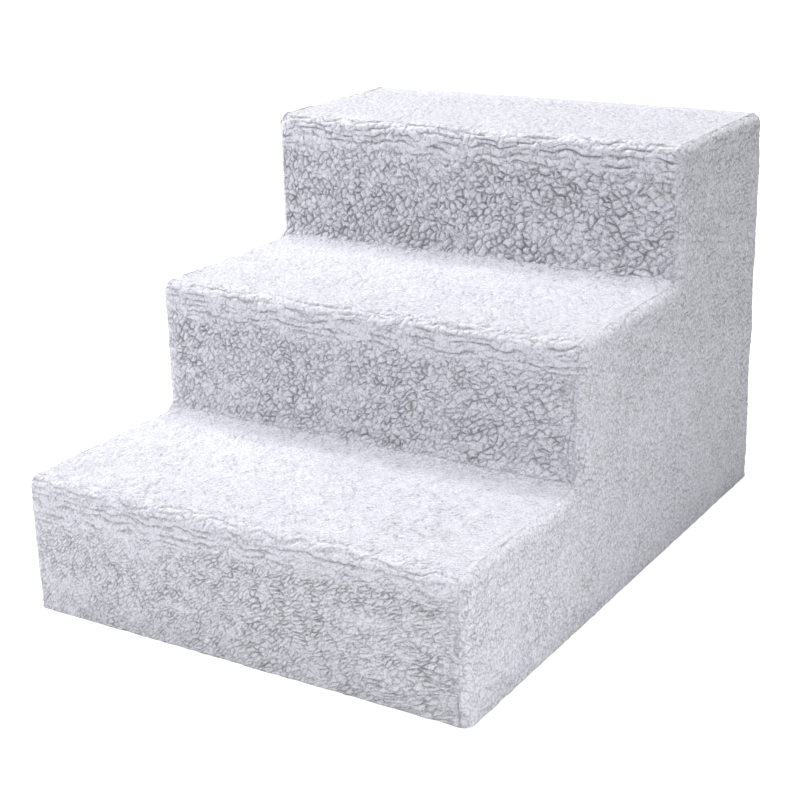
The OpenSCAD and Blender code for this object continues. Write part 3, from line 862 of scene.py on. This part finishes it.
def round_inward(a, b, corner_a, corner_b, toward_a, r, reach_a, reach_b):
    """Fills the square corner that the sheet turns round with an arc. The sheet lies below the
    corner and beside it, on the side toward_a."""
    da, db = (a - corner_a) * toward_a, corner_b - b
    level = np.maximum(da / reach_a, db / reach_b)
    upright = da / reach_a >= db / reach_b
    along = np.where(upright, -db + level * reach_b, -da + level * reach_a)
    inside = (level >= -1e-9) & (level < 1) & (along < r) & (along > -1e-9)
    turn = quarter / 2 * (1 - along / r)
    near_side, far_side = r - r * np.cos(turn), r - r * np.sin(turn) - along
    fade = (1 - level) ** 2 * (1 + 2 * level)
    out_a = np.where(upright, near_side, far_side) * fade
    out_b = np.where(upright, far_side, near_side) * fade
    return np.where(inside, a - toward_a * out_a, a), np.where(inside, b + out_b, b)


def side_shape(a, b):
    """Rounds the corners of the square-cut side panel."""
    for riser, tread in zip(risers, treads):
        a, b = round_outward(a, b, riser + edge_r, tread - edge_r, -1, 1, rim_r)
    a, b = round_outward(a, b, wrap_start, wall_top, 1, 1, rim_r)
    for riser, tread in zip(risers[1:], treads):
        a, b = round_inward(a, b, riser + rim_inset, tread - rim_inset, 1, inner_r, 0.03, 0.03)
    return round_inward(a, b, zip_edge, toe_top, -1, toe_r, 0.02, toe_top)


def side_keep(a, b):
    kept = ((a < toe_end) & (b < toe_top)) | ((a < zip_edge) & (b < wall_top))
    kept |= a < wrap_start + rim_r
    below = np.zeros(a.shape, bool)
    for riser, tread in zip(risers, treads):
        below |= (a > riser + rim_inset) & (b < tread - rim_inset)
    return kept & below


def side_rim(a, b):
    """How far each point lies past the start of the rounded edge, and the way to that edge."""
    past, way_a, way_b = np.zeros(a.shape), np.zeros(a.shape), np.zeros(a.shape)

    def put(where, q, na, nb):
        for value, new in ((past, q), (way_a, na), (way_b, nb)):
            np.copyto(value, new, where=where)

    def put_round(where, centre_a, centre_b, outward):
        reach = np.maximum(np.hypot(a - centre_a, b - centre_b), 1e-9)
        q = reach if outward else crease_r + edge_r - reach
        turned = 1 if outward else -1
        put(where & (q > 0), q, turned * (a - centre_a) / reach, turned * (b - centre_b) / reach)

    for k, (riser, tread) in enumerate(zip(risers, treads)):
        foot = tread - step_rise + (crease_r if k else -1)
        end = wrap_start if k == 2 else risers[k + 1] - crease_r
        put((a < riser + edge_r) & (b <= tread - edge_r) & (b > foot), riser + edge_r - a, -1.0, 0.0)
        put((b > tread - edge_r) & (a >= riser + edge_r) & (a <= end), b - tread + edge_r, 0.0, 1.0)
        put_round((a < riser + edge_r) & (b > tread - edge_r), riser + edge_r, tread - edge_r, True)
        if k < 2:
            put_round((a >= end) & (b <= tread + crease_r), end, tread + crease_r, False)
    put_round((a > wrap_start) & (b > wall_top), wrap_start, wall_top, True)
    return np.maximum(past, 0), way_a, way_b


def side_lay(a, b):
    """The side panel's place: it turns in over its rounded edge, and round the back edge."""
    past, way_a, way_b = side_rim(a, b)
    shift = edge_r * np.sin(past / edge_r) - past
    x = half_width - edge_r + edge_r * np.cos(past / edge_r)
    y, z = a + way_a * shift, b + way_b * shift
    wrapped = (a > wrap_start) & (b <= wall_top)
    turn = np.clip((a - wrap_start) / edge_r, 0, quarter)
    x = np.where(wrapped, half_width - edge_r + edge_r * np.cos(turn) - np.maximum(a - wrap_end, 0), x)
    y = np.where(wrapped, wrap_start + edge_r * np.sin(turn), y)
    return np.stack([x, y, np.where(wrapped, b, z)], 1)


def side_bends(a, b):
    """Upright partings round the back edge. The pile lies flattest beside the rounded edge."""
    past, _, _ = side_rim(a, b)
    beside = near(np.maximum(0.006 - past, 0), 0.016)
    wrapped = near(np.abs(a - (wrap_start + wrap_end) / 2), back_reach) * (b < wall_top)
    return 0 * a, 0.5 * wrapped, 0.3 + 0.5 * beside


side_u = [risers[0] + rim_inset, risers[0] + edge_r, risers[1] + rim_inset, risers[1] + edge_r,
          risers[2] + rim_inset, risers[2] + edge_r, wrap_start, wrap_start + rim_r, zip_edge, toe_end]
side_v = [0, toe_top, treads[0] - edge_r, treads[0] - rim_inset, treads[1] - edge_r,
          treads[1] - rim_inset, wall_top, treads[2] - rim_inset]
for side, hand in (("left", -1), ("right", 1)):
    def keep(u, v):
        return side_keep(hand * u, v)

    def shape(u, v):
        a, b = side_shape(hand * u, v)
        return hand * a, b

    def lay(u, v):
        return side_lay(hand * u, v) * np.array([hand, 1, 1])

    def bends(u, v):
        return side_bends(hand * u, v)

    under = [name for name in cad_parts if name.startswith(("tread_rail", "floor_rail", "post_"))
             and name.endswith(side)]
    piece, area = fleece(f"fleece_side_{side}", sorted(hand * a for a in side_u), side_v, keep, shape,
                         lay, bends, seed=500 + 100 * hand, grid_u=0.00105, grid_v=0.00105, under=under,
                         tuft=0.0046)
    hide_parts(f"side_cover_{side}")

# The back panel. It is sewn to the top step's fleece along its upper edge, and the zip opens its
# other three sides.
flap_half = zip_x - slot_half
flap_foot = zip_foot + slot_half
flap_r = zip_bend_r - slot_half
band_half = zip_x + slot_half - 0.0002
band_foot = 0.270


def flap_keep(u, v):
    return (v > band_foot) | (np.abs(u) < flap_half)


def flap_shape(u, v):
    for toward in (-1, 1):
        u, v = round_outward(u, v, toward * (flap_half - flap_r), flap_foot + flap_r, toward, -1,
                             flap_r)
    return u, v


def flap_lay(u, v):
    """Upright at the back, seen from behind."""
    return np.stack([-u, np.full(u.shape, back_y), v], 1)


def flap_bends(u, v):
    return np.zeros(u.shape), np.zeros(u.shape), np.zeros(u.shape)


under = ["cross_tube_top_back", "cross_tube_floor_back", "post_4_left", "post_4_right"]
piece, area = fleece("fleece_back", [-band_half, -flap_half, flap_r - flap_half, flap_half - flap_r,
                                     flap_half, band_half],
                     [flap_foot, flap_foot + flap_r, band_foot, wall_top], flap_keep, flap_shape,
                     flap_lay, flap_bends, seed=800, grid_u=0.00096, grid_v=0.00096, under=under,
                     tuft=0.0050)
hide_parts("back_flap")

# The zip. A nylon coil runs along the edge of each woven tape. One tape is sewn to the cover's
# body, and the other to the back panel.
zip_low, zip_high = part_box("zip_half_body")
tape_t = 0.0006
tape_w = 0.012
tape_y = zip_low.y + tape_t / 2
tape_top = zip_high.z + 0.008
coil_pitch = 0.0016
coil_half = 0.0030
coil_low, coil_high = zip_low.y + tape_t - 0.0001, zip_high.y
wedge_room, wedge_zone = 0.0012, 0.0075
coil_overlap, coil_skew = 0.00015, 0.0003
wire_r = 0.00032
tape_gap = 0.0001


def zip_parts(z_top):
    down = z_top - zip_foot - zip_bend_r
    return [(down, 0), (zip_bend_r * quarter, quarter), (2 * (zip_x - zip_bend_r), 0),
            (zip_bend_r * quarter, quarter), (down, 0)]


def zip_place(line, s, offset):
    """x, z and heading at the distance s along the zip's line, moved outwards by offset."""
    x, z, turn = (np.interp(s, line[0], line[k]) for k in (1, 2, 3))
    return x + np.sin(turn) * offset, z - np.cos(turn) * offset, turn


tape_paint = woven("white zip tape", 2200, 0.00012, (0.62, 0.62, 0.64), (0.78, 0.78, 0.80))
coil_paint = grained("white nylon coil", 1200, 0.00003, (0.70, 0.70, 0.72), (0.78, 0.78, 0.80),
                     (0.28, 0.4))
bpy.ops.object.select_all(action="DESELECT")
bpy.ops.mesh.primitive_torus_add(major_segments=12, minor_segments=5, major_radius=1,
                                 minor_radius=wire_r)
loop = bpy.context.object
ring = np.zeros(len(loop.data.vertices) * 3)
loop.data.vertices.foreach_get("co", ring)
ring = ring.reshape(-1, 3)
ring_faces = np.array([list(face.vertices) for face in loop.data.polygons])
bpy.data.objects.remove(loop)
ring_out, ring_spin = np.hypot(ring[:, 0], ring[:, 1]) - 1, np.arctan2(ring[:, 1], ring[:, 0])

for part, toward in (("body", 1), ("flap", -1)):
    line = path((-zip_x, zip_high.z), -quarter, zip_parts(zip_high.z))
    marks = np.arange(coil_pitch * (0.5 if toward > 0 else 1.0), line[4] - coil_pitch / 2, coil_pitch)
    points, faces = [], []
    for k, (mark, z) in enumerate(zip(marks, np.interp(marks, line[0], line[2]))):
        inner = wedge_room if z > zip_high.z - wedge_zone else -coil_overlap
        half_w, half_h = (coil_half - inner) / 2 - wire_r, (coil_high - coil_low) / 2 - wire_r
        offset = (coil_half + inner) / 2 + np.cos(ring_spin) * (half_w + ring_out)
        y = (coil_low + coil_high) / 2 + np.sin(ring_spin) * (half_h + ring_out)
        along = ring[:, 2] + coil_skew * np.cos(ring_spin) * np.sin(ring_spin)
        x, z, turn = zip_place(line, mark, toward * offset)
        points.append(np.stack([x + np.cos(turn) * along, y, z + np.sin(turn) * along], 1))
        faces.append(ring_faces + k * len(ring))
    teeth = mesh_object(f"zip_coil_{part}", np.concatenate(points), np.concatenate(faces).tolist())
    face_outwards(teeth)
    bpy.ops.object.shade_smooth()
    teeth.data.materials.append(coil_paint)
    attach(teeth, "stairs")

    line = path((-zip_x, tape_top), -quarter, zip_parts(tape_top))

    def lay(u, v):
        x, z, _ = zip_place(line, u, v)
        return np.stack([x, np.full(u.shape, tape_y), z], 1)

    stops = np.cumsum([0] + [length for length, turn in zip_parts(tape_top)])
    tape = thin_sheet(f"zip_tape_{part}", lines(list(stops), [0.01, 0.0018, 0.01, 0.0018, 0.01]),
                      lines(sorted([toward * tape_gap, toward * tape_w]), 0.003), everywhere, unchanged,
                      lay, tape_t, tape_paint)
    for piece in (teeth, tape):
        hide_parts(f"zip_half_{part}")

# The slider and its pull are die-cast zinc with bright nickel, whose shine varies a little from
# place to place. The stops at the coil's ends are pressed from the same metal.
stop_off, stop_lift, stop_rounding = 0.00165, 0.0014, 0.0006
stop_size = (0.0029, coil_high - coil_low, 0.0022)
nickel = grained("bright nickel", 900, 0.00002, (0.62, 0.61, 0.59), (0.74, 0.73, 0.71), (0.18, 0.36),
                 metal=1.0)
dress(nickel, "zip_slider", "zip_pull")
for run, run_name in ((-1, "left"), (1, "right")):
    for toward, name in ((-1, "inner"), (1, "outer")):
        bpy.ops.object.select_all(action="DESELECT")
        bpy.ops.mesh.primitive_cube_add(size=1, location=(
            run * (zip_x + toward * stop_off), (coil_low + coil_high) / 2, zip_high.z + stop_lift))
        stop = bpy.context.object
        stop.name = f"zip_stop_{run_name}_{name}"
        stop.scale = stop_size
        bpy.ops.object.transform_apply(location=True, rotation=True, scale=True)
        rounding = stop.modifiers.new("pressed", "BEVEL")
        rounding.width, rounding.segments = stop_rounding, 3
        bpy.ops.object.modifier_apply(modifier=rounding.name)
        bpy.ops.object.shade_smooth_by_angle(angle=smooth_angle)
        stop.data.materials.append(nickel)
        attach(stop, "stairs")
